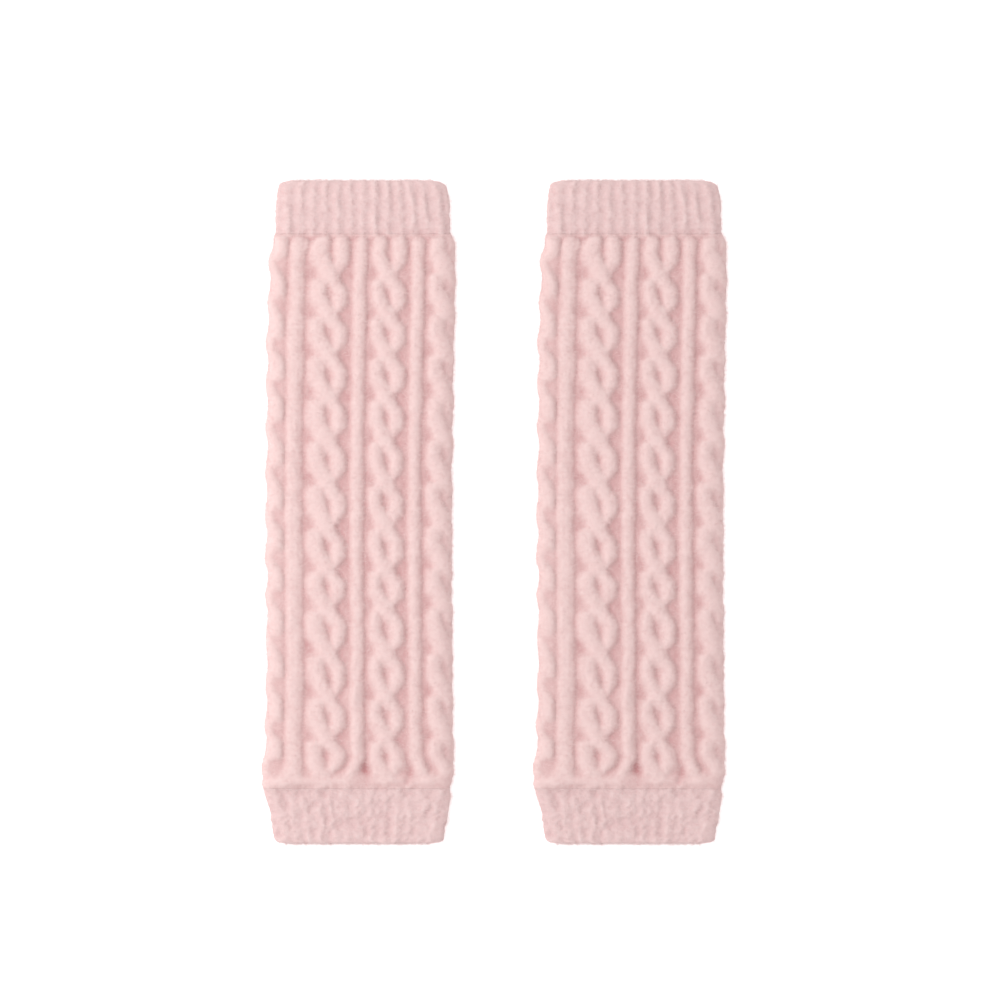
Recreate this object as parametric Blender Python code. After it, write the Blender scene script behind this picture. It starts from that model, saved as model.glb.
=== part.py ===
"""A pair of cable-knit leg warmers laid flat, side by side.

Each leg warmer is a knitted tube in three pieces: a ribbed cuff at the top,
the cable-knit leg and a ribbed cuff at the ankle. The tube lies collapsed, so
its front layer rests on its back layer with a narrow slit between them. Ropes
and ribs stand out of a plain wall. The underside is flat, where it rests.

X runs across the pair, Y from ankle to knee and Z up from the surface. Tables
and sizes are in millimetres, and the meshes are made in metres.
"""

import math
from collections import namedtuple

import bmesh
import bpy
import numpy as np

MM = 0.001

# The whole leg warmer and its pieces
LENGTH = 400.0
ANKLE_SEAM = 33.0
TOP_SEAM = 367.9
SEAM_GAP = 0.3
PAIR_SPACING = 163.7

# The wall and the slit inside the collapsed tube
SLIT = 1.2
FOLD_DEPTH = 7.0
CORNER_RADIUS = 5.5
RIM_LENGTH = 2.6
RIM_SHARE = 0.5

# The repeat of one rope and one rib, and where the first rope lies, in repeats
REPEATS = 6
REPEAT_WIDTH = 35.8
ROPE_AT = -0.53
ROPE_SPREAD = 6.4
TOP_SPREAD = 5.2
STRAND_HALF_WIDTH = 5.5
STRAND_RISE = 3.8
STRAND_BLEND = 1.6
PATH_REACH = 0.26
PATH_STEPS = 27
RIB_HALF_WIDTH = 5.0
RIB_RISE = 3.2
FIRST_RIB_AT = -1.03
FIRST_RIB_BROADER = 0.2
RIDGE_POWER = 0.72
ROPE_FADE_FROM = 35.0
ROPE_FADE_TO = 44.0
ROPE_START = 6.0

# The soft fold of the leg that blouses over the ankle cuff
BAND_AT = 38.0
BAND_REACH = 4.2
BAND_RISE = 2.0

# The rounding of the leg's side folds, and how far round the tube it reaches
FOLD_SWELL = 2.0
FOLD_REACH = 0.06

# The height of each of the ropes' crossings above the ankle hem. The spacing is
# uneven, as knitted. The strands run side by side above the first one.
CROSSINGS = [
    343.2, 319.0, 294.9, 269.5, 244.1, 218.1, 191.5, 166.2, 142.6, 115.6, 89.4, 63.8, 41.0,
]
CROSSING_PITCH = (CROSSINGS[0] - CROSSINGS[-1]) / (len(CROSSINGS) - 1)

# One link of a rope from its upper end down: how far aside of the rope's middle the
# strand in front lies, in shares of the spread, and its share of the full width, how
# far aside the one behind lies, and how deep that one dives under the other.
Bend = namedtuple("Bend", "share front width behind dive")
LINK = [
    Bend(0.00, -1.00, 1.00, 1.00, 0.0),
    Bend(0.12, -0.97, 1.00, 0.95, 0.0),
    Bend(0.24, -0.88, 1.00, 0.86, 0.0),
    Bend(0.33, -0.74, 1.00, 0.78, 0.3),
    Bend(0.40, -0.58, 1.00, 0.62, 1.0),
    Bend(0.46, -0.44, 1.00, 0.20, 1.8),
    Bend(0.53, -0.28, 1.00, -0.50, 1.6),
    Bend(0.60, -0.10, 0.92, -0.90, 0.5),
    Bend(0.67, 0.24, 0.82, -0.98, 0.0),
    Bend(0.74, 0.66, 0.80, -1.00, 0.0),
    Bend(0.81, 0.92, 0.88, -1.00, 0.0),
    Bend(0.88, 1.00, 0.96, -1.00, 0.0),
    Bend(1.00, 1.00, 1.00, -1.00, 0.0),
]

# The 1x1 rib of both cuffs
CUFF_RIBS = 28
CUFF_RIB_RISE = 1.1

# How finely each wall is worked out, and how many triangles it keeps
LEG_COLUMNS_PER_REPEAT = 28
LEG_ROW_STEP = 1.9
LEG_TRIANGLES = 7000
CUFF_COLUMNS_PER_RIB = 6
CUFF_ROW_STEP = 2.6
CORNER_ROWS = 4
CUFF_TRIANGLES = 760
FLOOR_TOLERANCE = 0.06

# The brushed yarn's colour, a little softer in the cuffs
LEG_PINK = (0.83, 0.56, 0.55, 1.0)
CUFF_PINK = (0.83, 0.57, 0.56, 1.0)
KNIT_ROUGHNESS = 0.95

# One row for each section: its distance from the ankle hem, the left and right
# edges of the ground knit from the middle line, the height of the slit above
# the surface, and the thickness of the ground knit.
Section = namedtuple("Section", "along left right slit_height wall")
SECTIONS = [
    Section(0.0, -51.6, 50.6, 3.7, 2.4),
    Section(14.0, -52.1, 51.8, 3.7, 2.4),
    Section(21.0, -53.9, 52.7, 3.8, 2.4),
    Section(27.0, -55.5, 53.4, 4.0, 2.4),
    Section(33.0, -56.2, 54.0, 4.3, 2.5),
    Section(39.0, -56.0, 54.1, 4.8, 2.6),
    Section(50.0, -54.8, 53.6, 5.2, 2.6),
    Section(68.0, -54.0, 53.3, 5.2, 2.6),
    Section(207.0, -53.5, 52.6, 5.2, 2.6),
    Section(268.0, -53.0, 53.2, 5.2, 2.6),
    Section(328.0, -52.1, 54.4, 5.2, 2.6),
    Section(352.0, -51.1, 54.6, 5.1, 2.6),
    Section(365.0, -49.7, 54.5, 4.4, 2.5),
    Section(376.0, -49.2, 53.7, 3.8, 2.4),
    Section(394.0, -48.9, 52.0, 3.7, 2.4),
    Section(400.0, -48.8, 51.3, 3.7, 2.4),
]

# The gathers above the ankle seam: where each one's middle lies, its length
# and half-width, its turn from the leg's length, and how far it stands out.
Gather = namedtuple("Gather", "across along length half_width turn rise")
GATHERS = [
    Gather(-46.8, 210.0, 560.0, 3.2, 0.0, 1.2),
    Gather(-3.9, 86.0, 22.0, 5.0, 2.0, 0.9),
    Gather(-35.0, 37.0, 34.0, 3.2, 86.0, 1.5),
    Gather(4.2, 44.5, 9.0, 3.0, -20.0, -2.0),
    Gather(16.0, 37.5, 18.0, 3.0, 80.0, 1.3),
    Gather(30.0, 41.0, 14.0, 2.0, 18.0, -1.3),
    Gather(40.0, 38.0, 16.0, 3.4, 74.0, 1.2),
]

# How far the ropes and ribs on the front lie right of their even places, at each
# height: rope 0 is the one on the left fold and rope 3 the one on the right fold.
Drift = namedtuple("Drift", "along rope_0 rib_1 rope_1 rib_2 rope_2 rib_3 rope_3")
DRIFTS = [
    Drift(36.0, -1.0, 1.0, 0.0, -6.5, 0.0, 4.0, 0.0),
    Drift(42.0, -1.0, 0.4, 0.0, -3.4, 0.0, 2.6, 0.0),
    Drift(52.0, -1.2, -1.6, 0.0, 0.6, -0.2, 0.0, -0.6),
    Drift(66.0, -1.2, -2.4, 0.3, -0.6, 0.0, -1.3, -0.9),
    Drift(400.0, -1.2, -2.4, 0.3, -0.6, 0.0, -1.3, -0.9),
]

Ring = namedtuple("Ring", "along middle flat depth half_height slit_height wall")


def clear_scene():
    for obj in list(bpy.data.objects):
        bpy.data.objects.remove(obj)


def smooth_step(low, high, x):
    t = np.clip((x - low) / (high - low), 0.0, 1.0)
    return t * t * (3.0 - 2.0 * t)


def dome(x):
    """The height of a round ridge of half-width 1 and rise 1."""
    return np.sqrt(np.clip(1.0 - x * x, 0.0, 1.0))


def ridge(x):
    """A round ridge like dome, with a soft foot."""
    return np.clip(1.0 - x * x, 0.0, 1.0) ** RIDGE_POWER


def smooth_max(a, b, softness):
    blend = np.clip(0.5 + 0.5 * (a - b) / softness, 0.0, 1.0)
    return b + (a - b) * blend + softness * blend * (1.0 - blend)


def table_column(name, along):
    """A column of SECTIONS at these distances, on a smooth curve through its rows."""
    x = np.array([row.along for row in SECTIONS])
    y = np.array([getattr(row, name) for row in SECTIONS])
    slope = np.gradient(y, x)
    i = np.clip(np.searchsorted(x, along, side="right") - 1, 0, len(x) - 2)
    step = x[i + 1] - x[i]
    t = (along - x[i]) / step
    start = (1.0 + 2.0 * t) * (1.0 - t) ** 2 * y[i]
    end = t * t * (3.0 - 2.0 * t) * y[i + 1]
    bend = t * (1.0 - t) * ((1.0 - t) * slope[i] - t * slope[i + 1]) * step
    return start + end + bend


def corner_inset(along):
    """How far a hem's round corners draw its sides in."""
    from_hem = np.minimum(along, LENGTH - along)
    short = np.clip(CORNER_RADIUS - from_hem, 0.0, CORNER_RADIUS)
    return CORNER_RADIUS - np.sqrt(CORNER_RADIUS**2 - short**2)


def rings_at(along):
    """The collapsed tube's ground section at each distance from the ankle hem."""
    left = table_column("left", along) + corner_inset(along)
    right = table_column("right", along) - corner_inset(along)
    wall = table_column("wall", along)
    return Ring(
        along=along[:, None],
        middle=((left + right) / 2.0)[:, None],
        flat=((right - left) / 2.0 - FOLD_DEPTH)[:, None],
        depth=FOLD_DEPTH,
        half_height=(SLIT / 2.0 + wall)[:, None],
        slit_height=table_column("slit_height", along)[:, None],
        wall=wall[:, None],
    )


def section_points(ring, turns, depth, half_height):
    """Points and outward normals on a flattened section, and how far across each lies.

    turns counts half the way round, from 0 at the front's middle to 1 or -1 at
    the back's middle. The section is flat above and below, with oval ends.
    """
    fold = math.pi * math.sqrt((ring.depth**2 + np.mean(ring.half_height) ** 2) / 2.0)
    reach = np.abs(turns) * (2.0 * ring.flat + fold)
    side = np.sign(turns)
    angle = np.clip((reach - ring.flat) / fold, 0.0, 1.0) * math.pi
    over = np.minimum(reach, ring.flat)
    under = np.maximum(reach - ring.flat - fold, 0.0)
    x = ring.middle + side * (over - under + depth * np.sin(angle))
    z = ring.slit_height + half_height * np.cos(angle)
    normal_x = side * np.sin(angle) / depth
    normal_z = np.cos(angle) / half_height
    size = np.hypot(normal_x, normal_z)
    return x, z, normal_x / size, normal_z / size


def rope_turns(along):
    """How many links of the rope lie above this height, counted down from the top."""
    half = CROSSING_PITCH / 2.0
    heights = [CROSSINGS[0] + half] + CROSSINGS + [CROSSINGS[-1] - half]
    counts = [0.0] + [i + 0.5 for i in range(len(CROSSINGS))] + [float(len(CROSSINGS))]
    return np.interp(along, heights[::-1], counts[::-1])


def link_column(name, share):
    return np.interp(share, [row.share for row in LINK], [getattr(row, name) for row in LINK])


def strand(name, distance, share, spread, width):
    """The height of a round-backed strand on its curved path across the rope."""
    nearest = np.full(np.broadcast(distance, share).shape, np.inf)
    for ahead in np.linspace(-PATH_REACH, PATH_REACH, PATH_STEPS):
        aside = distance - spread * link_column(name, share + ahead)
        nearest = np.minimum(nearest, np.hypot(aside, ahead * CROSSING_PITCH))
    return STRAND_RISE * ridge(nearest / width)


def rope_relief(column, along):
    """The height of a two-strand rope over the ground, one strand crossing in front."""
    turn = rope_turns(along)
    share = turn - np.minimum(np.floor(turn), len(CROSSINGS) - 1)
    start = CROSSINGS[0] + CROSSING_PITCH / 2.0
    spread = np.interp(along, [start, TOP_SEAM], [ROPE_SPREAD, TOP_SPREAD])
    distance = ((column - ROPE_AT + 0.5) % 1.0 - 0.5) * REPEAT_WIDTH
    front_width = STRAND_HALF_WIDTH * link_column("width", share)
    front = strand("front", distance, share, spread, front_width)
    behind = strand("behind", distance, share, spread, STRAND_HALF_WIDTH)
    return smooth_max(front, behind - link_column("dive", share), STRAND_BLEND)


def rib_relief(column):
    across = ((column - ROPE_AT) % 1.0 - 0.5) * REPEAT_WIDTH
    first = np.exp(-(((column - FIRST_RIB_AT) / 0.3) ** 2))
    return RIB_RISE * ridge(across / (RIB_HALF_WIDTH * (1.0 + FIRST_RIB_BROADER * first)))


def drifted(column, along):
    """The column of knitting found at a place, in repeats, after the front's drifts."""
    places = [ROPE_AT + half / 2.0 for half in range(-2, 6)]
    heights = [row.along for row in DRIFTS]
    shift = np.zeros(np.broadcast(column, along).shape)
    for k, name in enumerate(Drift._fields[1:]):
        amount = np.interp(along, heights, [getattr(row, name) for row in DRIFTS])
        near = np.clip(1.0 - np.abs(column - places[k]) * 2.0, 0.0, 1.0)
        shift = shift + amount * smooth_step(0.0, 1.0, near)
    return column - shift / REPEAT_WIDTH


def gather_relief(x, along):
    total = np.zeros(np.broadcast(x, along).shape)
    for gather in GATHERS:
        turn = math.radians(gather.turn)
        dx, dy = x - gather.across, along - gather.along
        lengthwise = dy * math.cos(turn) + dx * math.sin(turn)
        crosswise = dx * math.cos(turn) - dy * math.sin(turn)
        taper = np.exp(-((2.0 * lengthwise / gather.length) ** 2))
        total = total + gather.rise * taper * np.exp(-((crosswise / gather.half_width) ** 2))
    return total


def fold_swell(turns):
    """The rounding of the leg's side folds, which fills the rope's notches there."""
    return FOLD_SWELL * np.exp(-(((np.abs(turns) - 0.5) / FOLD_REACH) ** 2))


def softened(relief):
    """The relief rounded off over about a stitch each way."""
    relief = (np.roll(relief, 1, axis=1) + 2.0 * relief + np.roll(relief, -1, axis=1)) / 4.0
    between = (relief[:-2] + 2.0 * relief[1:-1] + relief[2:]) / 4.0
    return np.concatenate([relief[:1], between, relief[-1:]])


def leg_relief(turns, ring, x):
    """How far the leg's ropes, ribs, band and gathers stand out of the ground knit."""
    along = ring.along
    column = drifted(turns * REPEATS / 2.0, along)
    pattern = np.maximum(rope_relief(column, along), rib_relief(column))
    shown = smooth_step(ROPE_FADE_FROM, ROPE_FADE_TO, along)
    before = STRAND_RISE * (1.0 - np.clip((TOP_SEAM - along) / ROPE_START, 0.0, 1.0))
    relief = np.sqrt(np.maximum(np.maximum(pattern, 0.0) ** 2 - before**2, 0.0)) * shown
    relief = smooth_max(relief, fold_swell(turns) * shown, 1.0)
    band = BAND_RISE * np.exp(-(((along - BAND_AT) / BAND_REACH) ** 2))
    front = smooth_step(-0.2, 0.4, np.cos(turns * math.pi))
    relief = smooth_max(relief, band, 1.2) + front * gather_relief(x, along)
    return softened(np.maximum(relief, 0.0))


def cuff_relief(turns, ring, x):
    """The fine ribs of a cuff, which run its whole height."""
    return CUFF_RIB_RISE * np.cos(turns * CUFF_RIBS / 2.0 * math.pi) ** 2


def hem_share(along):
    """How much of the wall's thickness is left close to a free hem."""
    from_hem = np.minimum(along, LENGTH - along)
    near = np.clip(from_hem / RIM_LENGTH, 0.0, 1.0)
    return RIM_SHARE + (1.0 - RIM_SHARE) * dome(1.0 - near)


def wall_points(along, turns, relief):
    """The outer and inner points of a piece's wall, as rows of rings, in millimetres."""
    ring = rings_at(along)
    hem = hem_share(ring.along)
    outer_depth = ring.depth - (1.0 - hem) * ring.wall
    outer_height = ring.half_height - (1.0 - hem) * ring.wall
    x, z, normal_x, normal_z = section_points(ring, turns, outer_depth, outer_height)
    rise = relief(turns, ring, x) * hem
    x = x + normal_x * rise
    z = z + normal_z * rise
    resting = smooth_step(0.35, 0.95, -normal_z)
    rest_height = (1.0 - hem) * ring.slit_height * 0.6
    z = np.maximum(z * (1.0 - resting) + rest_height * resting, 0.0)
    inner_depth = ring.depth - ring.wall
    inner_x, inner_z, _, _ = section_points(ring, turns, inner_depth, SLIT / 2.0)
    y = np.broadcast_to(ring.along - LENGTH / 2.0, x.shape)
    outer = np.stack([x, y, z], axis=-1)
    inner = np.stack([inner_x, y, inner_z], axis=-1)
    return outer, inner


def wall_mesh(name, outer, inner):
    """A closed wall from its outer and inner rings, joined by a rim at each end."""
    rows, columns = outer.shape[:2]
    points = np.concatenate([outer.reshape(-1, 3), inner.reshape(-1, 3)]) * MM
    offset = rows * columns
    faces = []
    for i in range(rows - 1):
        for j in range(columns):
            k = (j + 1) % columns
            a, b = i * columns + j, i * columns + k
            c, d = a + columns, b + columns
            faces.append((a, b, d, c))
            faces.append((offset + a, offset + c, offset + d, offset + b))
    top = (rows - 1) * columns
    for j in range(columns):
        k = (j + 1) % columns
        faces.append((j, offset + j, offset + k, k))
        faces.append((top + j, top + k, offset + top + k, offset + top + j))
    mesh = bpy.data.meshes.new(name)
    mesh.from_pydata(points.tolist(), [], faces)
    shape = bmesh.new()
    shape.from_mesh(mesh)
    bmesh.ops.recalc_face_normals(shape, faces=shape.faces)
    shape.to_mesh(mesh)
    shape.free()
    return mesh


def thinned(mesh, triangles):
    """The same wall with about this many triangles, and its underside at rest on the surface."""
    mesh.calc_loop_triangles()
    helper = bpy.data.objects.new("thinning", mesh)
    bpy.context.scene.collection.objects.link(helper)
    decimate = helper.modifiers.new("thin", "DECIMATE")
    decimate.ratio = triangles / len(mesh.loop_triangles)
    decimate.use_collapse_triangulate = True
    graph = bpy.context.evaluated_depsgraph_get()
    result = bpy.data.meshes.new_from_object(helper.evaluated_get(graph))
    bpy.data.objects.remove(helper)
    for vertex in result.vertices:
        if vertex.co.z < FLOOR_TOLERANCE * MM:
            vertex.co.z = 0.0
    result.name = mesh.name
    return result


def evenly(start, end, step):
    return np.linspace(start, end, max(2, round((end - start) / step) + 1))


def cuff_rows(hem, seam):
    """Heights of a cuff's rows, which follow the round corner at its hem."""
    inward = 1.0 if seam > hem else -1.0
    bends = np.linspace(0.0, math.pi / 2.0, CORNER_ROWS, endpoint=False)
    corner = hem + inward * CORNER_RADIUS * (1.0 - np.cos(bends))
    straight = evenly(hem + inward * CORNER_RADIUS, seam, inward * CUFF_ROW_STEP)
    return np.sort(np.concatenate([corner, straight]))


def around(columns):
    return (np.arange(columns) / columns * 2.0 - 1.0)[None, :]


def leg_mesh():
    along = evenly(ANKLE_SEAM + SEAM_GAP / 2.0, TOP_SEAM - SEAM_GAP / 2.0, LEG_ROW_STEP)
    turns = around(REPEATS * LEG_COLUMNS_PER_REPEAT)
    outer, inner = wall_points(along, turns, leg_relief)
    return thinned(wall_mesh("leg_tube", outer, inner), LEG_TRIANGLES)


def cuff_mesh(name, hem, seam):
    along = cuff_rows(hem, seam)
    turns = around(CUFF_RIBS * CUFF_COLUMNS_PER_RIB)
    outer, inner = wall_points(along, turns, cuff_relief)
    return thinned(wall_mesh(name, outer, inner), CUFF_TRIANGLES)


def knit_material(name, colour):
    material = bpy.data.materials.new(name)
    material.use_nodes = True
    shader = material.node_tree.nodes["Principled BSDF"]
    shader.inputs["Base Color"].default_value = colour
    shader.inputs["Roughness"].default_value = KNIT_ROUGHNESS
    shader.inputs["Metallic"].default_value = 0.0
    return material


def place(name, mesh, x):
    obj = bpy.data.objects.new(name, mesh)
    bpy.context.scene.collection.objects.link(obj)
    obj.location.x = x * MM
    return obj


def pair_offset(meshes):
    """How far the pair shifts across so that its box is centred on the origin."""
    across = [vertex.co.x / MM for mesh in meshes for vertex in mesh.vertices]
    return -(min(across) + max(across)) / 2.0


def build():
    clear_scene()
    cable_knit = knit_material("cable_knit", LEG_PINK)
    rib_knit = knit_material("rib_knit", CUFF_PINK)
    pieces = {
        "ankle_cuff": (cuff_mesh("ankle_cuff", 0.0, ANKLE_SEAM - SEAM_GAP / 2.0), rib_knit),
        "leg_tube": (leg_mesh(), cable_knit),
        "top_cuff": (cuff_mesh("top_cuff", LENGTH, TOP_SEAM + SEAM_GAP / 2.0), rib_knit),
    }
    offset = pair_offset([mesh for mesh, material in pieces.values()])
    for mesh, material in pieces.values():
        mesh.materials.append(material)
        mesh.shade_smooth()
    for side, direction in (("left", -0.5), ("right", 0.5)):
        for piece, (mesh, material) in pieces.items():
            place(f"{side}_{piece}", mesh, direction * PAIR_SPACING + offset)


build()
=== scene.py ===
"""The looks of a pair of cable-knit leg warmers in soft brushed yarn, laid flat.

Each solid of the model is replaced by a fine knitted shell with the same form:
two-strand ropes, round ribs and stitches on a ground of plain knit. A nap of
short brushed fibres covers each leg warmer. Sizes and tables are in
millimetres, from the ankle hem up and from each one's middle line across.
"""

import math
from collections import namedtuple

import bpy
import numpy as np
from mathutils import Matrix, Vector


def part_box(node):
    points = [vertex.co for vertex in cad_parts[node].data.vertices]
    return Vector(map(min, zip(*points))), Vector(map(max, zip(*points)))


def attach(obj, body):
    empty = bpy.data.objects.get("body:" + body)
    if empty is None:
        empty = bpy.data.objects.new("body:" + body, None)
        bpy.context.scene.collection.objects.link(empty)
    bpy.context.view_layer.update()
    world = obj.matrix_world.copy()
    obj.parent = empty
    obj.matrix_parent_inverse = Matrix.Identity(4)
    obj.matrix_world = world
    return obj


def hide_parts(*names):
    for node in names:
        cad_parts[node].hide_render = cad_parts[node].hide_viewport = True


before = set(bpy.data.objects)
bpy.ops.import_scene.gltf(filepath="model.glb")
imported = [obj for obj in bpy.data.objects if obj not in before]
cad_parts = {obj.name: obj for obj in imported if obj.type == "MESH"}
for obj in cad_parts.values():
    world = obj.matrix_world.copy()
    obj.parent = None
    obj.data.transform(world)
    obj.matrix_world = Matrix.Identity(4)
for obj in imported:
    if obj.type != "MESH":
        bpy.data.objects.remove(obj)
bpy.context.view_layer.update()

MM = 0.001

# The whole leg warmer and its seams, where the look of the cuffs gives way to the leg's
LENGTH = 400.0
ANKLE_SEAM = 33.0
TOP_SEAM = 367.9
SEAM_BLEND = 3.2
# The even height that sets the painted shade on the cuffs, and the share of their own rise added
# to it
CUFF_SHADE_HEIGHT = 1.5
CUFF_SHADE_CONTRAST = 0.6

# The slit inside the collapsed tube, its side folds, and the round corners and thinner
# rims of its hems
SLIT = 1.2
FOLD_DEPTH = 7.0
FOLD_HALF_HEIGHT = 3.2
FOLD_LENGTH = math.pi * math.sqrt((FOLD_DEPTH**2 + FOLD_HALF_HEIGHT**2) / 2.0)
CORNER_RADIUS = 5.5
RIM_LENGTH = 3.0
RIM_SHARE = 0.35

# A row of stitches, how far each stitch's legs slant, in rows, how high it stands, and up
# to which share of a back's rise the stitches fade
ROW_HEIGHT = 3.2
STITCH_SLANT = 0.45
STITCH_RISE = 0.28
STITCH_FADE = 0.5

# The repeat of one rope and one rib, and where a rope and the first rib lie, in repeats
# from the front's middle. A spread is how far a strand swings from its rope's middle, a
# swell is the share by which a width or a rise changes along the leg, and the path's
# reach, in links, is how far along a strand its nearest point is looked for.
REPEATS = 6
REPEAT_WIDTH = 35.8
ROPE_AT = -0.53
ROPE_SPREAD = 6.4
TOP_SPREAD = 5.2
STRAND_HALF_WIDTH = 5.5
STRAND_WIDTH_SWELL = 0.07
STRAND_STITCHES = 3
STRAND_RISE = 3.5
STRAND_BLEND = 2.2
PATH_REACH = 0.26
PATH_STEPS = 27
RIB_HALF_WIDTH = 5.0
RIB_WIDTH_SWELL = 0.09
RIB_RISE = 3.0
RIB_RISE_SWELL = 0.06
FIRST_RIB_AT = -1.03
FIRST_RIB_REACH = 0.3
FIRST_RIB_BROADER = 0.38
RIDGE_POWER = 0.72

# Where the ropes and ribs end, the soft band at the ankle and the round side folds that
# they run into, and how deep the knit goes below the plain ground
ROPE_FADE_FROM = 35.0
ROPE_FADE_TO = 44.0
ROPE_START = 6.0
BAND_AT = 38.0
BAND_REACH = 5.2
BAND_RISE = 1.6
BAND_BLEND = 1.2
DEEPEST = -1.4
FOLD_SWELL = 2.0
FOLD_REACH = 0.06
FOLD_BLEND = 1.0

# The height of each of the ropes' crossings above the ankle hem
CROSSINGS = [
    343.2, 319.0, 294.9, 269.5, 244.1, 218.1, 191.5, 166.2, 142.6, 115.6, 89.4, 63.8, 41.0,
]
CROSSING_PITCH = (CROSSINGS[0] - CROSSINGS[-1]) / (len(CROSSINGS) - 1)

# One link of a rope from its upper end down: how far aside of the rope's middle the
# strand in front lies, in shares of the spread, and its share of the full width, the
# same for the strand behind, and how deep that one dives under the other.
Bend = namedtuple("Bend", "share front front_width behind behind_width dive")
LINK = [
    Bend(0.00, -1.07, 0.92, 0.92, 1.10, 0.0),
    Bend(0.08, -1.00, 0.98, 0.89, 1.10, 0.0),
    Bend(0.16, -0.90, 1.05, 0.89, 1.10, 0.0),
    Bend(0.24, -0.77, 1.11, 0.87, 1.08, 0.1),
    Bend(0.32, -0.64, 1.15, 0.80, 1.04, 0.7),
    Bend(0.40, -0.50, 1.15, 0.68, 1.00, 1.0),
    Bend(0.46, -0.37, 1.13, 0.36, 0.95, 1.5),
    Bend(0.53, -0.23, 1.12, -0.50, 0.90, 1.4),
    Bend(0.60, -0.05, 1.08, -0.96, 0.90, 0.5),
    Bend(0.67, 0.20, 1.02, -1.05, 0.90, 0.0),
    Bend(0.74, 0.50, 0.99, -1.08, 0.90, 0.0),
    Bend(0.81, 0.75, 1.03, -1.09, 0.90, 0.0),
    Bend(0.88, 0.88, 1.07, -1.09, 0.90, 0.0),
    Bend(1.00, 0.92, 1.10, -1.07, 0.92, 0.0),
]

# The hollows left and right of each crossing, and how far they reach
Hollow = namedtuple("Hollow", "share across depth")
HOLLOWS = [
    Hollow(0.40, -10.0, 0.8),
    Hollow(0.54, 8.6, 1.8),
]
HOLLOW_WIDTH = 3.2
HOLLOW_LENGTH = 4.6

# How much higher than in the front the crossings of the ropes at the side folds lie
Lift = namedtuple("Lift", "column rise")
LIFTS = [
    Lift(-1.53, 8.5),
    Lift(1.47, 2.4),
]
LIFT_REACH = 0.4

# The uneven creases that run round in the cuffs, beside their seams
Crease = namedtuple("Crease", "along reach depth")
CREASES = [
    Crease(31.2, 2.6, 0.34),
    Crease(369.0, 1.3, 0.45),
]

# The 1x1 rib of both cuffs, which is brushed flatter and lumpier at the ankle
CUFF_RIBS = 28
CUFF_RIB_RISE = 1.05
CUFF_STITCH_RISE = 0.3
CUFF_GROUND = 0.15
CUFF_BAND_BLEND = 0.7
CUFF_LUMPS = 1.6
ANKLE_RIB_SHARE = 0.7
ANKLE_MORE_LUMPS = 1.5

# Kinds of unevenness, each the sum of smooth noises: a noise's strength, the number of
# its cells round the tube, the length of each cell and the seed of its values
Noise = namedtuple("Noise", "strength cells_round cell_length seed")
PATTERN_SWAY = [Noise(0.4, 18, 34.0, 1), Noise(0.4, 26, 7.5, 14)]
PATTERN_SHIFT = [Noise(0.7, 6, 20.0, 2), Noise(0.5, 24, 8.0, 15)]
PATTERN_SWELL = [Noise(1.0, 12, 9.0, 3)]
BAND_SWAY = [Noise(1.4, 11, 60.0, 12)]
BAND_SWELL = [Noise(0.7, 19, 60.0, 13)]
CREASE_SWELL = [Noise(0.9, 17, 60.0, 16)]
CUFF_RIB_SWAY = [Noise(0.12, 28, 22.0, 8)]
CUFF_RIB_SWELL = [Noise(0.5, 40, 9.0, 9)]
FUZZ = [Noise(0.30, 36, 6.0, 4), Noise(0.18, 90, 2.4, 5), Noise(0.07, 160, 1.35, 6)]

# The collapsed tube's plain ground at heights above the ankle hem: its left and right
# edges from the middle line, the height of the slit's middle, and the wall
Section = namedtuple("Section", "along left right slit_height wall")
SECTIONS = [
    Section(0.0, -51.9, 50.6, 3.7, 2.4),
    Section(14.0, -52.4, 51.8, 3.7, 2.4),
    Section(21.0, -53.9, 52.7, 3.8, 2.4),
    Section(27.0, -55.5, 53.4, 4.0, 2.4),
    Section(33.0, -56.5, 54.0, 4.3, 2.5),
    Section(39.0, -56.3, 54.1, 4.8, 2.6),
    Section(50.0, -54.8, 54.0, 5.2, 2.6),
    Section(68.0, -54.0, 53.7, 5.2, 2.6),
    Section(207.0, -53.5, 53.0, 5.2, 2.6),
    Section(268.0, -53.0, 53.6, 5.2, 2.6),
    Section(328.0, -52.1, 54.8, 5.2, 2.6),
    Section(352.0, -51.1, 55.0, 5.1, 2.6),
    Section(365.0, -49.7, 54.5, 4.4, 2.5),
    Section(376.0, -49.2, 53.7, 3.8, 2.4),
    Section(394.0, -48.9, 52.0, 3.7, 2.4),
    Section(400.0, -48.8, 51.3, 3.7, 2.4),
]

# The fuller knit along the left fold, and the gathers above the ankle seam: where each
# one's middle lies, its length and half-width, its turn from the leg's length, and how
# far it stands out. They fade out between these two cosines of the turn round the leg.
FRONT_COSINES = (-0.2, 0.4)
Gather = namedtuple("Gather", "across along length half_width turn rise")
GATHERS = [
    Gather(-46.8, 210.0, 560.0, 3.2, 0.0, 0.7),
    Gather(-3.6, 88.0, 15.0, 4.2, 2.0, 1.7),
    Gather(-3.4, 60.0, 14.0, 4.2, 0.0, 1.4),
    Gather(-35.0, 37.0, 34.0, 3.2, 86.0, 1.5),
    Gather(4.2, 44.5, 9.0, 3.0, -20.0, -2.0),
    Gather(16.0, 37.5, 18.0, 3.0, 80.0, 1.3),
    Gather(30.0, 41.0, 14.0, 2.0, 18.0, -1.3),
    Gather(40.0, 38.0, 16.0, 3.4, 74.0, 1.2),
]

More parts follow.
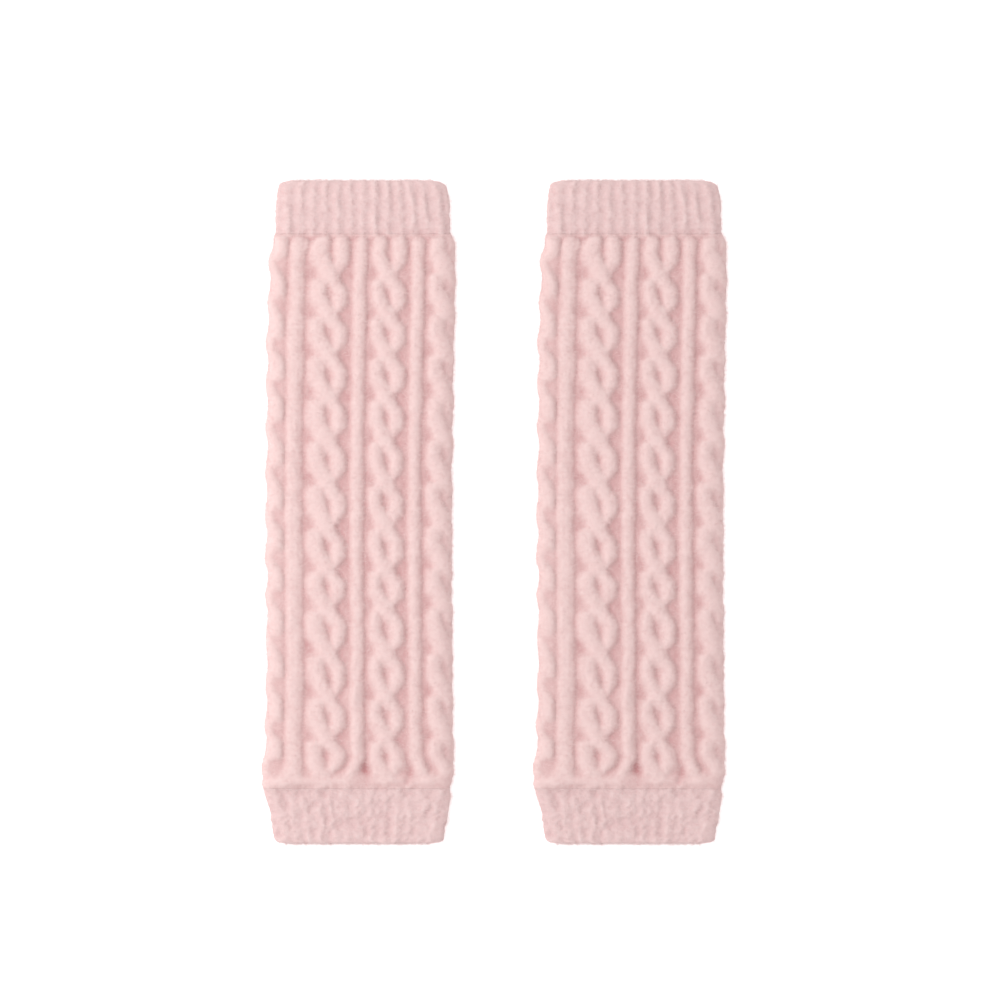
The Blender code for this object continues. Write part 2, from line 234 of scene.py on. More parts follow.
# How far the ropes and ribs on the front lie right of their even places, at each
# height, from the rope at the left fold to the one at the right fold
Drift = namedtuple("Drift", "along rope_0 rib_1 rope_1 rib_2 rope_2 rib_3 rope_3")
DRIFTS = [
    Drift(36.0, -1.0, 1.0, 0.0, -6.5, 0.0, 4.0, 0.0),
    Drift(42.0, -1.0, 0.4, 0.0, -3.4, 0.0, 2.6, 0.0),
    Drift(52.0, 1.5, -1.4, 1.0, 0.9, -0.3, -1.2, -1.6),
    Drift(66.0, 1.5, -2.0, 1.6, -0.2, 0.0, -2.1, -1.6),
    Drift(400.0, 1.5, -2.0, 1.6, -0.2, 0.0, -2.1, -1.6),
]

# How finely the shells are worked out: the places half the way round, which lie closer
# together in front than underneath, and the steps and rows along
PLACES_HALF_ROUND = 115
EVEN_SHARE = 0.80
SPREAD_SHARE = 0.20
LEG_ROW_STEP = 0.86
CUFF_ROW_STEP = 0.62
INNER_ROWS = 10
HEM_ROWS = 3

# The brushed nap: how far a fibre's root is scattered and sunk, the middle and spread of
# its length's logarithm, its shape, how close to the floor it comes, and where the nap is
# thinner or denser
FIBRES_PER_WARMER = 64000
FIBRE_LENGTH = 3.2
FIBRE_WIDTH = 0.12
FIBRE_SCATTER = 0.25
FIBRE_SUNK = 0.15
FIBRE_LEANS = (0.25, 1.1)
FIBRE_LENGTHS = (-0.1, 0.3)
LONGEST_FIBRE = 1.6
FIBRE_CURL = 0.55
FIBRE_DROOP = 0.25
FIBRE_TAPER = 0.8
FIBRE_FLOOR = 0.15
NAP_IN_HOLLOWS = 0.3
NAP_ON_SIDES = 3.0
NAP_RISES = (-1.0, 1.5)
NAP_SLOPES = (-0.55, 0.15)
NAP_SEED = 11

# The looks of the yarn: its colour where it stands out and the painted shade of the hollows,
# the heights between which the one turns into the other, and the noise in it
# light is the yarn's own colour; deep is a darker pink painted in as shade for the hollows
Yarn = namedtuple("Yarn", "light deep")
YARNS = {
    "cable_knit": Yarn((0.70, 0.52, 0.505, 1.0), (0.445, 0.185, 0.192, 1.0)),
    "rib_knit": Yarn((0.68, 0.515, 0.505, 1.0), (0.455, 0.23, 0.24, 1.0)),
}
# The heights over which the hollows' painted shade gives way to the yarn's own colour, and the
# share of the mix that height sets
PAINTED_SHADE_FROM = -2.4
PAINTED_SHADE_TO = 3.4
PAINTED_SHADE_SHARE = 0.9
CLUMP_SCALE = 330.0
CLUMP_SHARE = 0.45
CLUMP_OFFSET = -0.125
GRAIN_SCALE = 1100.0
BUMP_STRENGTH = 0.25
BUMP_HEIGHT = 0.5
BUMP_CLUMPS = 0.6
TUFT_SCALE = 260.0
FIBRE_DARK = (0.68, 0.495, 0.485, 1.0)
FIBRE_LIGHT = (0.745, 0.58, 0.57, 1.0)
SHEEN_TINT = (1.0, 0.86, 0.85, 1.0)
WHITE = (1.0, 1.0, 1.0, 1.0)
FLOOR_COLOUR = (0.93, 0.93, 0.93, 1.0)
FLOOR_GLOW = 0.35

# The stage, in metres, but for the camera's sensor in millimetres: the picture is 604 mm
# wide on the floor
FLOOR_HALF = 4.0
FLOOR_DROP = 0.0002
PICTURE_WIDTH = 0.6042
PICTURE_MIDDLE = (0.0033, 0.00725)
CAMERA_HEIGHT = 4.0
CAMERA_REACH = 20.0
SENSOR_WIDTH = 36.0
SKY_STRENGTH = 0.955
KEY_PLACE = (-1.1, 0.2, 1.15)
KEY_SIZE = 0.9
KEY_POWER = 13.5

# The sizes of a section of that tube, each an array over the heights
Ring = namedtuple("Ring", "along middle flat half_height slit_height wall")


def smooth_step(low, high, x):
    """From 0 at low to 1 at high, with no kink."""
    t = np.clip((x - low) / (high - low), 0.0, 1.0)
    return t * t * (3.0 - 2.0 * t)


def dome(x):
    """The height of a round ridge of half-width 1 and rise 1."""
    return np.sqrt(np.clip(1.0 - x * x, 0.0, 1.0))


def ridge(x):
    """A round ridge like dome, with a soft foot."""
    return np.clip(1.0 - x * x, 0.0, 1.0) ** RIDGE_POWER


def smooth_max(a, b, softness):
    """The larger of two, with the kink between them rounded off."""
    blend = np.clip(0.5 + 0.5 * (a - b) / softness, 0.0, 1.0)
    return b + (a - b) * blend + softness * blend * (1.0 - blend)


def smooth_noise(noise, turns, along):
    """The values of one noise, up to its strength either way, which close round the tube."""
    rows = int(LENGTH / noise.cell_length) + 3
    columns = noise.cells_round
    values = np.random.default_rng(noise.seed).uniform(-1.0, 1.0, (rows, columns))
    u = (turns + 1.0) / 2.0 * columns
    v = along / noise.cell_length
    i, j = np.floor(v).astype(int), np.floor(u).astype(int)
    s, t = v - i, u - j
    s, t = s * s * (3.0 - 2.0 * s), t * t * (3.0 - 2.0 * t)
    i = np.clip(i, 0, rows - 2)
    here, beside = j % columns, (j + 1) % columns
    a = values[i, here] * (1.0 - t) + values[i, beside] * t
    b = values[i + 1, here] * (1.0 - t) + values[i + 1, beside] * t
    return noise.strength * (a * (1.0 - s) + b * s)


def unevenness(noises, turns, along):
    """The sum of several noises."""
    return sum(smooth_noise(noise, turns, along) for noise in noises)


def table_column(name, along):
    """A column of SECTIONS at these distances, on a smooth curve through its rows."""
    x = np.array([row.along for row in SECTIONS])
    y = np.array([getattr(row, name) for row in SECTIONS])
    slope = np.gradient(y, x)
    i = np.clip(np.searchsorted(x, along, side="right") - 1, 0, len(x) - 2)
    step = x[i + 1] - x[i]
    t = (along - x[i]) / step
    start = (1.0 + 2.0 * t) * (1.0 - t) ** 2 * y[i]
    end = t * t * (3.0 - 2.0 * t) * y[i + 1]
    bend = t * (1.0 - t) * ((1.0 - t) * slope[i] - t * slope[i + 1]) * step
    return start + end + bend


def corner_inset(along):
    """How far a hem's round corners draw its sides in."""
    from_hem = np.minimum(along, LENGTH - along)
    short = np.clip(CORNER_RADIUS - from_hem, 0.0, CORNER_RADIUS)
    return CORNER_RADIUS - np.sqrt(CORNER_RADIUS**2 - short**2)


def rings_at(along):
    """The collapsed tube's ground section at each distance from the ankle hem."""
    left = table_column("left", along) + corner_inset(along)
    right = table_column("right", along) - corner_inset(along)
    wall = table_column("wall", along)
    return Ring(
        along=along[:, None],
        middle=((left + right) / 2.0)[:, None],
        flat=((right - left) / 2.0 - FOLD_DEPTH)[:, None],
        half_height=(SLIT / 2.0 + wall)[:, None],
        slit_height=table_column("slit_height", along)[:, None],
        wall=wall[:, None],
    )


def section_points(ring, turns, depth, half_height):
    """Points and outward normals on a flattened section.

    turns counts half the way round, from 0 at the front's middle to 1 or -1 at
    the back's middle. The section is flat above and below, with oval ends.
    """
    reach = np.abs(turns) * (2.0 * ring.flat + FOLD_LENGTH)
    side = np.sign(turns)
    angle = np.clip((reach - ring.flat) / FOLD_LENGTH, 0.0, 1.0) * math.pi
    over = np.minimum(reach, ring.flat)
    under = np.maximum(reach - ring.flat - FOLD_LENGTH, 0.0)
    x = ring.middle + side * (over - under + depth * np.sin(angle))
    z = ring.slit_height + half_height * np.cos(angle)
    normal_x = side * np.sin(angle) / depth
    normal_z = np.cos(angle) / half_height
    size = np.hypot(normal_x, normal_z)
    return x, z, normal_x / size, normal_z / size


def stitches(across, along, rise):
    """Soft V stitches, with across counted in stitches."""
    u = (across % 1.0) * 2.0 - 1.0
    v = along / ROW_HEIGHT - STITCH_SLANT * np.abs(u)
    in_row = 0.5 + 0.5 * np.cos(2.0 * math.pi * v)
    return rise * (dome(2.0 * np.abs(u) - 1.0) * in_row - 0.5)


def stitches_on(back, across, along):
    """The stitches of a raised back, which fade towards its foot."""
    return stitches(across, along, STITCH_RISE) * smooth_step(0.0, STITCH_FADE, back)


def rope_turns(along):
    """How many links of the rope lie above this height, counted down from the top."""
    half = CROSSING_PITCH / 2.0
    heights = [CROSSINGS[0] + half] + CROSSINGS + [CROSSINGS[-1] - half]
    counts = [0.0] + [i + 0.5 for i in range(len(CROSSINGS))] + [float(len(CROSSINGS))]
    return np.interp(along, heights[::-1], counts[::-1])


def link_column(name, share):
    """A column of LINK at these shares of a link."""
    return np.interp(share, [row.share for row in LINK], [getattr(row, name) for row in LINK])


def beside_rope(column):
    """The distance from the middle of the nearest rope."""
    return ((column - ROPE_AT + 0.5) % 1.0 - 0.5) * REPEAT_WIDTH


def strand(name, distance, share, along, spread, width):
    """A round-backed strand of raised stitches on its curved path across the rope."""
    here = distance - spread * link_column(name, share)
    nearest = np.abs(here)
    for ahead in np.linspace(-PATH_REACH, PATH_REACH, PATH_STEPS):
        aside = distance - spread * link_column(name, share + ahead)
        nearest = np.minimum(nearest, np.hypot(aside, ahead * CROSSING_PITCH))
    place = np.sign(here) * nearest / (width * link_column(f"{name}_width", share))
    back = ridge(place)
    across = (place + 1.0) * (STRAND_STITCHES / 2.0)
    return STRAND_RISE * back + stitches_on(back, across, along)


def rope_relief(column, along, swell):
    """The height of a two-strand rope over the ground, one strand crossing in front."""
    turn = rope_turns(along)
    share = turn - np.minimum(np.floor(turn), len(CROSSINGS) - 1)
    start = CROSSINGS[0] + CROSSING_PITCH / 2.0
    spread = np.interp(along, [start, TOP_SEAM], [ROPE_SPREAD, TOP_SPREAD])
    distance = beside_rope(column)
    width = STRAND_HALF_WIDTH * (1.0 + STRAND_WIDTH_SWELL * swell)
    front = strand("front", distance, share, along, spread, width)
    behind = strand("behind", distance, share, along, spread, width)
    return smooth_max(front, behind - link_column("dive", share), STRAND_BLEND)


def rope_hollows(column, along):
    """The depth of the small hollows beside the ropes' crossings."""
    share = rope_turns(along) % 1.0
    distance = beside_rope(column)
    total = np.zeros(np.broadcast(column, along).shape)
    for hollow in HOLLOWS:
        across = (distance - hollow.across) / HOLLOW_WIDTH
        down = (share - hollow.share) * CROSSING_PITCH / HOLLOW_LENGTH
        total = total + hollow.depth * np.exp(-across**2 - down**2)
    return total


def side_lift(column):
    """How much higher the crossings lie at the side folds."""
    total = np.zeros(column.shape)
    for lift in LIFTS:
        total = total + lift.rise * np.exp(-(((column - lift.column) / LIFT_REACH) ** 2))
    return total


def rib_relief(column, along, swell):
    """The height of the round ribs between the ropes, the first a broader one."""
    across = ((column - ROPE_AT) % 1.0 - 0.5) * REPEAT_WIDTH
    first = np.exp(-(((column - FIRST_RIB_AT) / FIRST_RIB_REACH) ** 2))
    width = RIB_HALF_WIDTH * (1.0 + RIB_WIDTH_SWELL * swell + FIRST_RIB_BROADER * first)
    back = ridge(across / width)
    rise = RIB_RISE * (1.0 + RIB_RISE_SWELL * swell)
    return rise * back + stitches_on(back, across / width + 1.0, along)


def drifted(column, along):
    """The column of knitting found at a place, in repeats, after the front's drifts."""
    heights = [row.along for row in DRIFTS]
    shift = np.zeros(np.broadcast(column, along).shape)
    for k, name in enumerate(Drift._fields[1:]):
        amount = np.interp(along, heights, [getattr(row, name) for row in DRIFTS])
        place = ROPE_AT + (k - 2) / 2.0
        near = np.clip(1.0 - np.abs(column - place) * 2.0, 0.0, 1.0)
        shift = shift + amount * smooth_step(0.0, 1.0, near)
    return column - shift / REPEAT_WIDTH


def gather_relief(x, along):
    """How far the gathers stand out or sink in."""
    total = np.zeros(np.broadcast(x, along).shape)
    for gather in GATHERS:
        turn = math.radians(gather.turn)
        dx, dy = x - gather.across, along - gather.along
        lengthwise = dy * math.cos(turn) + dx * math.sin(turn)
        crosswise = dx * math.cos(turn) - dy * math.sin(turn)
        taper = np.exp(-((2.0 * lengthwise / gather.length) ** 2))
        total = total + gather.rise * taper * np.exp(-((crosswise / gather.half_width) ** 2))
    return total


def ankle_band(turns, along):
    """The soft fold that blouses over the ankle cuff, uneven round the leg."""
    middle = BAND_AT + unevenness(BAND_SWAY, turns, along)
    rise = BAND_RISE * (1.0 + unevenness(BAND_SWELL, turns, along))
    return rise * np.exp(-(((along - middle) / BAND_REACH) ** 2))


def seam_share(along):
    """How much of the look of the cuffs shows: 1 in the cuffs and 0 along the leg."""
    return 1.0 - smooth_step(0.0, SEAM_BLEND, np.minimum(along - ANKLE_SEAM, TOP_SEAM - along))


def fold_swell(turns):
    """The rounding of the leg's side folds, which fills the rope's notches there."""
    return FOLD_SWELL * np.exp(-(((np.abs(turns) - 0.5) / FOLD_REACH) ** 2))


def leg_relief(turns, ring, x):
    """How far the leg's ropes, ribs and gathers stand out of the ground knit."""
    along = ring.along
    sway = unevenness(PATTERN_SWAY, turns, along)
    column = drifted(turns * REPEATS / 2.0, along) + sway / REPEAT_WIDTH
    shift = unevenness(PATTERN_SHIFT, turns, along) - side_lift(column)
    swell = unevenness(PATTERN_SWELL, turns, along)
    ropes = rope_relief(column, along + shift, swell)
    pattern = np.maximum(ropes, rib_relief(column, along, swell))
    # The ropes and ribs rise out of the top seam in an arc and sink into the ankle band.
    shown = smooth_step(ROPE_FADE_FROM, ROPE_FADE_TO, along)
    before = STRAND_RISE * (1.0 - np.clip((TOP_SEAM - along) / ROPE_START, 0.0, 1.0))
    relief = np.sqrt(np.maximum(np.maximum(pattern, 0.0) ** 2 - before**2, 0.0)) * shown
    relief = relief - rope_hollows(column, along + shift) * shown
    relief = smooth_max(relief, fold_swell(turns) * shown, FOLD_BLEND)
    relief = smooth_max(relief, ankle_band(turns, along), BAND_BLEND)
    front = smooth_step(*FRONT_COSINES, np.cos(turns * math.pi))
    relief = np.maximum(relief + front * gather_relief(x, along), DEEPEST)
    relief = relief + unevenness(FUZZ, turns, along)
    return relief + (cuff_relief(turns, ring, x) - relief) * seam_share(along)


def cuff_ribs(turns, along):
    """The uneven ribs and stitches of a cuff."""
    across = turns * CUFF_RIBS / 2.0 + unevenness(CUFF_RIB_SWAY, turns, along)
    ribs = CUFF_RIB_RISE * np.cos(across * math.pi) ** 2
    ribs = ribs * (1.0 + unevenness(CUFF_RIB_SWELL, turns, along))
    knit = stitches(across * 2.0 + 0.5, along, CUFF_STITCH_RISE)
    return np.maximum(ribs + knit + CUFF_GROUND, 0.0)


def cuff_relief(turns, ring, x):
    """A cuff's ribs, which are brushed flatter at the ankle, its creases and lumps.

    It is called as leg_relief is, and has no use for x.
    """
    along = ring.along
    at_ankle = smooth_step(LENGTH, 0.0, along)
    ribs = cuff_ribs(turns, along) * (1.0 + (ANKLE_RIB_SHARE - 1.0) * at_ankle)
    relief = smooth_max(ribs, ankle_band(turns, along), CUFF_BAND_BLEND)
    for crease in CREASES:
        depth = crease.depth * (1.0 + unevenness(CREASE_SWELL, turns, along))
        relief = relief - depth * np.exp(-(((along - crease.along) / crease.reach) ** 2))
    lumps = CUFF_LUMPS + ANKLE_MORE_LUMPS * at_ankle
    return relief + lumps * unevenness(FUZZ, turns, along)


def hem_share(along):
    """How much of the wall's thickness is left close to a free hem."""
    from_hem = np.minimum(along, LENGTH - along)
    near = np.clip(from_hem / RIM_LENGTH, 0.0, 1.0)
    return RIM_SHARE + (1.0 - RIM_SHARE) * dome(1.0 - near)


def outer_points(along, turns, relief):
    """The shell's outer points, in millimetres, and how high each stands over the ground."""
    ring = rings_at(along)
    thinner = (1.0 - hem_share(ring.along)) * ring.wall
    x, z, normal_x, normal_z = section_points(
        ring, turns, FOLD_DEPTH - thinner, ring.half_height - thinner
    )
    rise = relief(turns, ring, x) * hem_share(ring.along)
    x = x + normal_x * rise
    z = np.maximum(z + normal_z * rise, 0.0)
    y = np.broadcast_to(ring.along - LENGTH / 2.0, x.shape)
    return np.stack([x, y, z], axis=-1), rise


def inner_points(along, turns):
    """The points of the shell's plain inner side."""
    ring = rings_at(along)
    x, z, _, _ = section_points(ring, turns, FOLD_DEPTH - ring.wall, SLIT / 2.0)
    y = np.broadcast_to(ring.along - LENGTH / 2.0, x.shape)
    return np.stack([x, y, z], axis=-1)


def tube_faces(rows, columns, first, flip):
    """The quads of a tube whose points start at first, ring after ring."""
    i, j = np.meshgrid(np.arange(rows - 1), np.arange(columns), indexing="ij")
    a = first + i * columns + j
    b = first + i * columns + (j + 1) % columns
    quads = np.stack([a, b, b + columns, a + columns], axis=-1).reshape(-1, 4)
    return quads[:, ::-1] if flip else quads


def rim_faces(outer_ring, inner_ring, columns, flip):
    """The quads between an outer and an inner ring."""
    j = np.arange(columns)
    k = (j + 1) % columns
    quads = np.stack([outer_ring + j, inner_ring + j, inner_ring + k, outer_ring + k], axis=-1)
    return quads[:, ::-1] if flip else quads


def evenly(start, end, step):
    """Places about a step apart, both ends included."""
    return np.linspace(start, end, max(2, round((end - start) / step) + 1))


def around():
    """Places round the tube in half turns, closer in front and sparser underneath."""
    t = np.arange(-PLACES_HALF_ROUND, PLACES_HALF_ROUND) / PLACES_HALF_ROUND
    return (t * (EVEN_SHARE + SPREAD_SHARE * t * t * t * t))[None, :]


def mesh_of(name, points, faces, painted_shade_height, rim_count):
    """A smooth shell whose last faces, its rims, keep their own flat shading."""
    mesh = bpy.data.meshes.new(name)
    mesh.from_pydata((points * MM).tolist(), [], faces.tolist())
    # Each point's height, which sets how much painted shade of the hollows its colour gets
    attribute = mesh.attributes.new("painted_shade_height", "FLOAT", "POINT")
    attribute.data.foreach_set("value", painted_shade_height.astype(np.float32))
    mesh.shade_smooth()
    flat = mesh.attributes.new("sharp_face", "BOOLEAN", "FACE")
    flat.data.foreach_set("value", np.arange(len(faces)) >= len(faces) - rim_count)
    return mesh


def shell_mesh(name, start, end, row_step, relief):
    """A knitted shell between two heights, its outer grid with its nap, and its inner grid."""
    along = evenly(start, end, row_step)
    turns = around()
    outer, rise = outer_points(along, turns, relief)
    inner = inner_points(evenly(start, end, (end - start) / INNER_ROWS), turns)
    rows, columns = outer.shape[:2]
    inner_rows = inner.shape[0]
    first_inner = rows * columns
    last_outer = (rows - 1) * columns
    last_inner = first_inner + (inner_rows - 1) * columns
    faces = np.concatenate([
        tube_faces(rows, columns, 0, False),
        tube_faces(inner_rows, columns, first_inner, True),
        rim_faces(0, first_inner, columns, False),
        rim_faces(last_outer, last_inner, columns, True),
    ])
    points = np.concatenate([outer.reshape(-1, 3), inner.reshape(-1, 3)])
    # How far each point stands out of the painted shade: its own rise on the leg, and on the cuffs
    # an even height plus a share of their rise
    pale = rise + (CUFF_SHADE_HEIGHT + CUFF_SHADE_CONTRAST * rise - rise) * seam_share(along)[:, None]
    pale = np.concatenate([pale.ravel(), np.zeros(inner_rows * columns)])
    napped = NAP_IN_HOLLOWS + (1.0 - NAP_IN_HOLLOWS) * smooth_step(*NAP_RISES, rise)
    return mesh_of(name, points, faces, pale, 2 * columns), (outer, napped), inner


def hem_grid(first_ring, last_ring):
    """A grid over the rim of a hem, which takes its share of the nap."""
    share = np.linspace(0.0, 1.0, HEM_ROWS)[:, None, None]
    grid = first_ring[None] * (1.0 - share) + last_ring[None] * share
    return grid, np.ones(grid.shape[:2])


def unit(vectors):
    return vectors / np.maximum(np.linalg.norm(vectors, axis=-1, keepdims=True), 1e-9)


def grid_normals(grid):
    """Outward normals of a grid of rings."""
    down = np.gradient(grid, axis=0)
    across = np.roll(grid, -1, axis=1) - np.roll(grid, 1, axis=1)
    return unit(np.cross(across, down))


def nap_roots(grids):
    """The places where fibres may grow, their normals and their shares of the nap."""
    roots, normals, weights = [], [], []
    for grid, napped in grids:
        normal = grid_normals(grid)
        span = np.linalg.norm(np.roll(grid, -1, axis=1) - grid, axis=-1)
        seen = smooth_step(*NAP_SLOPES, normal[..., 2])
        roots.append(grid.reshape(-1, 3))
        normals.append(normal.reshape(-1, 3))
        weight = span * seen * napped * (1.0 + NAP_ON_SIDES * (1.0 - np.abs(normal[..., 2])))
        weights.append(weight.ravel())
    weights = np.concatenate(weights)
    return np.concatenate(roots), np.concatenate(normals), weights / weights.sum()


def fibre_points(grids, count):
    """The five points of each fibre: two at its root, two at its bend and its tip."""
    random = np.random.default_rng(NAP_SEED)
    roots, normals, shares = nap_roots(grids)
    chosen = random.choice(len(roots), count, p=shares)
    root = roots[chosen] + random.normal(0.0, FIBRE_SCATTER, (count, 3))
    normal = normals[chosen]
    root = root - normal * FIBRE_SUNK
    sideways = unit(np.cross(normal, unit(random.normal(size=(count, 3)))))
    lean = random.uniform(*FIBRE_LEANS, (count, 1))
    longer = np.minimum(random.lognormal(*FIBRE_LENGTHS, (count, 1)), LONGEST_FIBRE)
    length = FIBRE_LENGTH * longer
    first = unit(normal * lean + sideways)
    curl = unit(np.cross(first, unit(random.normal(size=(count, 3)))))
    second = unit(first + FIBRE_CURL * curl - FIBRE_DROOP * normal)
    middle = root + first * length * 0.5
    tip = middle + second * length * 0.5
    broad = unit(np.cross(first, normal)) * FIBRE_WIDTH / 2.0
    less = broad * FIBRE_TAPER
    points = np.stack([root - broad, root + broad, middle + less, middle - less, tip], axis=1)
    points[..., 2] = np.maximum(points[..., 2], FIBRE_FLOOR)
    return points


def nap_mesh(name, grids, count):
    """Short brushed fibres, each a ribbon of three triangles that bends over."""
    points = fibre_points(grids, count)
    base = np.arange(count)[:, None] * points.shape[1]
    quads = (base + np.array([0, 1, 2, 3])).tolist()
    tips = (base + np.array([3, 2, 4])).tolist()
    mesh = bpy.data.meshes.new(name)
    mesh.from_pydata((points.reshape(-1, 3) * MM).tolist(), [], quads + tips)
    mesh.shade_smooth()
    return mesh


def add_node(nodes, kind, x, y, **values):
    node = nodes.new(kind)
    node.location = (x, y)
    for key, value in values.items():
        setattr(node, key, value)
    return node


def set_inputs(node, values):
    for name, value in values.items():
        node.inputs[name].default_value = value


def new_material(name, values):
    """A material with these values in its shader, and that shader."""
    material = bpy.data.materials.new(name)
    material.use_nodes = True
    shader = material.node_tree.nodes["Principled BSDF"]
    set_inputs(shader, values)
    return material, shader


def link_all(material, pairs):
    for source, target in pairs:
        material.node_tree.links.new(source, target)


def add_noise(material, x, y, **values):
    """A noise texture in the object's own space."""
    nodes = material.node_tree.nodes
    place = add_node(nodes, "ShaderNodeTexCoord", x - 300, y)
    noise = add_node(nodes, "ShaderNodeTexNoise", x, y)
    set_inputs(noise, values)
    link_all(material, [(place.outputs["Object"], noise.inputs["Vector"])])
    return noise.outputs["Fac"]


def yarn_colour(material, clumps, yarn):
    """Pale on what stands out and painted shade, a deeper pink, in the hollows, in uneven clumps.
    """
    nodes = material.node_tree.nodes
    height = add_node(nodes, "ShaderNodeAttribute", -1200, 300, attribute_name="painted_shade_height")
    pale = add_node(nodes, "ShaderNodeMapRange", -900, 300, interpolation_type="SMOOTHSTEP")
    set_inputs(pale, {"From Min": PAINTED_SHADE_FROM, "From Max": PAINTED_SHADE_TO})
    clumped = add_node(nodes, "ShaderNodeMath", -700, 60, operation="MULTIPLY_ADD")
    set_inputs(clumped, {1: CLUMP_SHARE, 2: CLUMP_OFFSET})
    share = add_node(nodes, "ShaderNodeMath", -600, 200, operation="MULTIPLY_ADD")
    set_inputs(share, {1: PAINTED_SHADE_SHARE})
    colour = add_node(nodes, "ShaderNodeMix", -300, 200, data_type="RGBA")
    set_inputs(colour, {"A": yarn.deep, "B": yarn.light})
    link_all(material, [
        (height.outputs["Fac"], pale.inputs["Value"]),
        (clumps, clumped.inputs[0]),
        (pale.outputs["Result"], share.inputs[0]),
        (clumped.outputs["Value"], share.inputs[2]),
        (share.outputs["Value"], colour.inputs["Factor"]),
    ])
    return colour.outputs["Result"]


def yarn_bumps(material, clumps, grain):
    """The yarn's small bumps, in clumps with a finer grain."""
    nodes = material.node_tree.nodes
    surface = add_node(nodes, "ShaderNodeMath", -600, -200, operation="MULTIPLY_ADD")
    set_inputs(surface, {1: BUMP_CLUMPS})
    bumps = add_node(nodes, "ShaderNodeBump", -300, -200)
    set_inputs(bumps, {"Strength": BUMP_STRENGTH, "Distance": BUMP_HEIGHT * MM})
    link_all(material, [
        (clumps, surface.inputs[0]),
        (grain, surface.inputs[2]),
        (surface.outputs["Value"], bumps.inputs["Height"]),
    ])
    return bumps.outputs["Normal"]


def knit_material(name, yarn):
    """Brushed yarn, matt and with a soft sheen."""
    material, shader = new_material(name, {
        "Roughness": 0.95,
        "Specular IOR Level": 0.15,
        "Sheen Weight": 0.35,
        "Sheen Roughness": 0.6,
        "Sheen Tint": SHEEN_TINT,
    })
    clumps = add_noise(material, -900, 0, Scale=CLUMP_SCALE, Detail=4.0)
    grain = add_noise(material, -900, -300, Scale=GRAIN_SCALE, Detail=3.0)
    link_all(material, [
        (yarn_colour(material, clumps, yarn), shader.inputs["Base Color"]),
        (yarn_bumps(material, clumps, grain), shader.inputs["Normal"]),
    ])
    return material


def fibre_material():
    """The nap, in tufts that are a little paler or darker."""
    material, shader = new_material("brushed_fibre", {
        "Roughness": 0.9,
        "Specular IOR Level": 0.2,
        "Sheen Weight": 0.3,
    })
    tufts = add_noise(material, -600, 0, Scale=TUFT_SCALE)
    colour = add_node(material.node_tree.nodes, "ShaderNodeMix", -300, 0, data_type="RGBA")
    set_inputs(colour, {"A": FIBRE_DARK, "B": FIBRE_LIGHT})
    link_all(material, [
        (tufts, colour.inputs["Factor"]),
        (colour.outputs["Result"], shader.inputs["Base Color"]),
    ])
    return material


def floor_material():
    """The pale floor, which glows a little so that it shows no shadow."""
    material, _ = new_material("pale_floor", {
        "Base Color": FLOOR_COLOUR,
        "Roughness": 0.9,
        "Emission Color": WHITE,
        "Emission Strength": FLOOR_GLOW,
    })
    return material


def add_object(name, data):
    obj = bpy.data.objects.new(name, data)
    bpy.context.scene.collection.objects.link(obj)
    return obj


def add_floor():
    mesh = bpy.data.meshes.new("floor")
    ends = (-FLOOR_HALF, FLOOR_HALF)
    mesh.from_pydata([(x, y, 0) for y in ends for x in ends], [], [(0, 1, 3, 2)])
    mesh.materials.append(floor_material())
    floor = add_object("floor", mesh)
    floor.location.z = -FLOOR_DROP


def add_camera():
    """Straight above and far off, so that the picture shows its width on the floor."""
    camera = bpy.data.cameras.new("camera")
    camera.sensor_width = SENSOR_WIDTH
    camera.lens = SENSOR_WIDTH * CAMERA_HEIGHT / PICTURE_WIDTH
    camera.clip_end = CAMERA_REACH
    obj = add_object("camera", camera)
    obj.location = (*PICTURE_MIDDLE, CAMERA_HEIGHT)
    bpy.context.scene.camera = obj


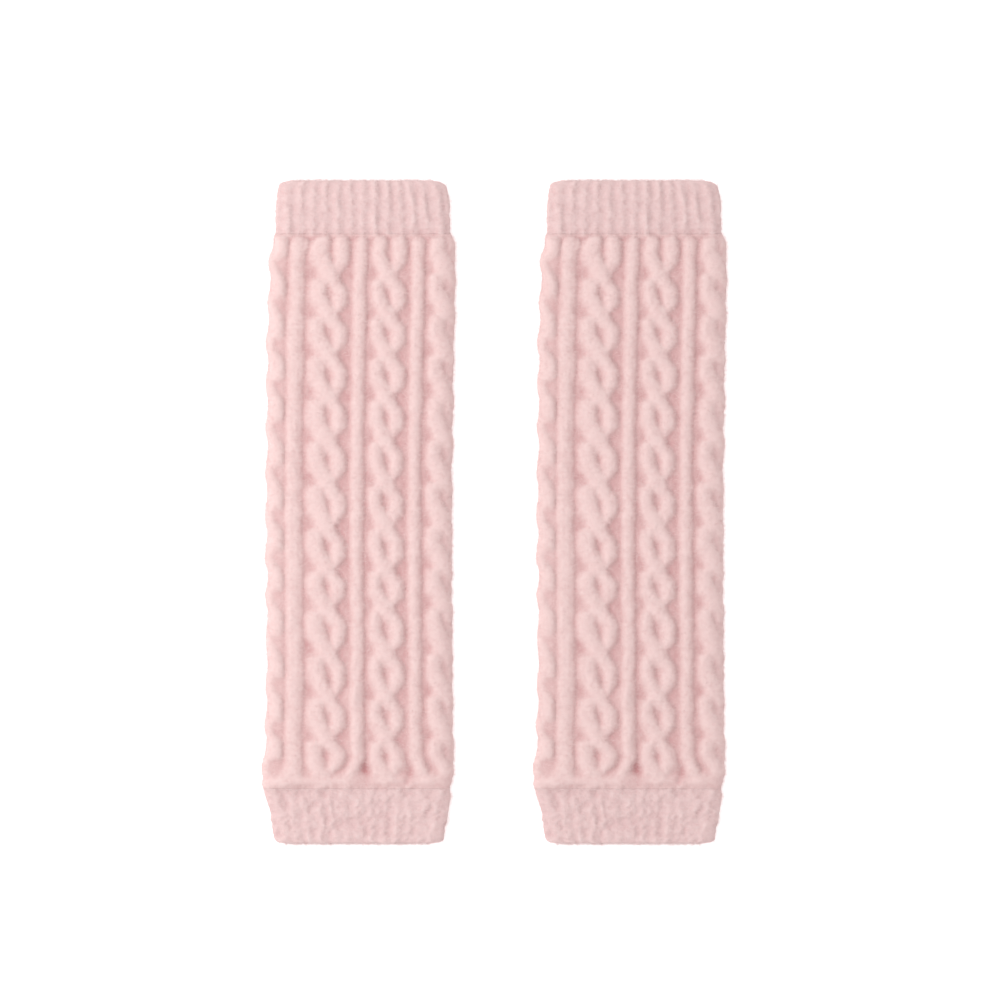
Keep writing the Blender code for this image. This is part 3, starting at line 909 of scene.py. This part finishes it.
def add_lights():
    """An even white sky, and a soft key light from the left that points at the pair."""
    world = bpy.data.worlds.new("studio")
    bpy.context.scene.world = world
    world.use_nodes = True
    set_inputs(world.node_tree.nodes["Background"], {"Color": WHITE, "Strength": SKY_STRENGTH})
    light = bpy.data.lights.new("key", "AREA")
    light.shape = "SQUARE"
    light.size = KEY_SIZE
    light.energy = KEY_POWER
    key = add_object("key", light)
    key.location = KEY_PLACE
    key.rotation_euler = Vector(KEY_PLACE).to_track_quat("Z", "Y").to_euler()


def centre_across(node):
    """The middle of a solid from side to side."""
    low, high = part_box(node)
    return (low[0] + high[0]) / 2.0


def add_warmer(side, shells, fibres, shell_middle):
    """One leg warmer on the solids of its side: its nap, then its knitted shells."""
    shift = centre_across(f"{side}_leg_tube") - shell_middle
    nap = add_object(f"{side}_nap", fibres)
    nap.location.x = shift
    nap.visible_shadow = False
    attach(nap, "root")
    for piece, (mesh, slot, length, has_nap) in shells.items():
        shell = add_object(f"{side}_{piece}_knit", mesh)
        shell.location.x = shift
        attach(shell, "root")
        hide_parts(f"{side}_{piece}")


def build():
    add_camera()
    add_lights()
    add_floor()
    bpy.context.scene.view_settings.view_transform = "Standard"
    materials = {slot: knit_material(slot, yarn) for slot, yarn in YARNS.items()}
    leg, leg_grid, _ = shell_mesh("leg_tube", ANKLE_SEAM, TOP_SEAM, LEG_ROW_STEP, leg_relief)
    ankle, ankle_grid, ankle_inner = shell_mesh(
        "ankle_cuff", 0.0, ANKLE_SEAM, CUFF_ROW_STEP, cuff_relief
    )
    top, top_grid, top_inner = shell_mesh("top_cuff", TOP_SEAM, LENGTH, CUFF_ROW_STEP, cuff_relief)
    hems = [hem_grid(ankle_inner[0], ankle_grid[0][0]), hem_grid(top_grid[0][-1], top_inner[-1])]
    fibres = nap_mesh("nap", [leg_grid, ankle_grid, top_grid] + hems, FIBRES_PER_WARMER)
    fibres.materials.append(fibre_material())
    shells = {
        "leg_tube": (leg, "cable_knit", TOP_SEAM - ANKLE_SEAM, True),
        "ankle_cuff": (ankle, "rib_knit", ANKLE_SEAM, False),
        "top_cuff": (top, "rib_knit", LENGTH - TOP_SEAM, False),
    }
    for mesh, slot, _, _ in shells.values():
        mesh.materials.append(materials[slot])
    leg_across = leg_grid[0][..., 0]
    shell_middle = (leg_across.min() + leg_across.max()) / 2.0 * MM
    for side in ("left", "right"):
        add_warmer(side, shells, fibres, shell_middle)


build()
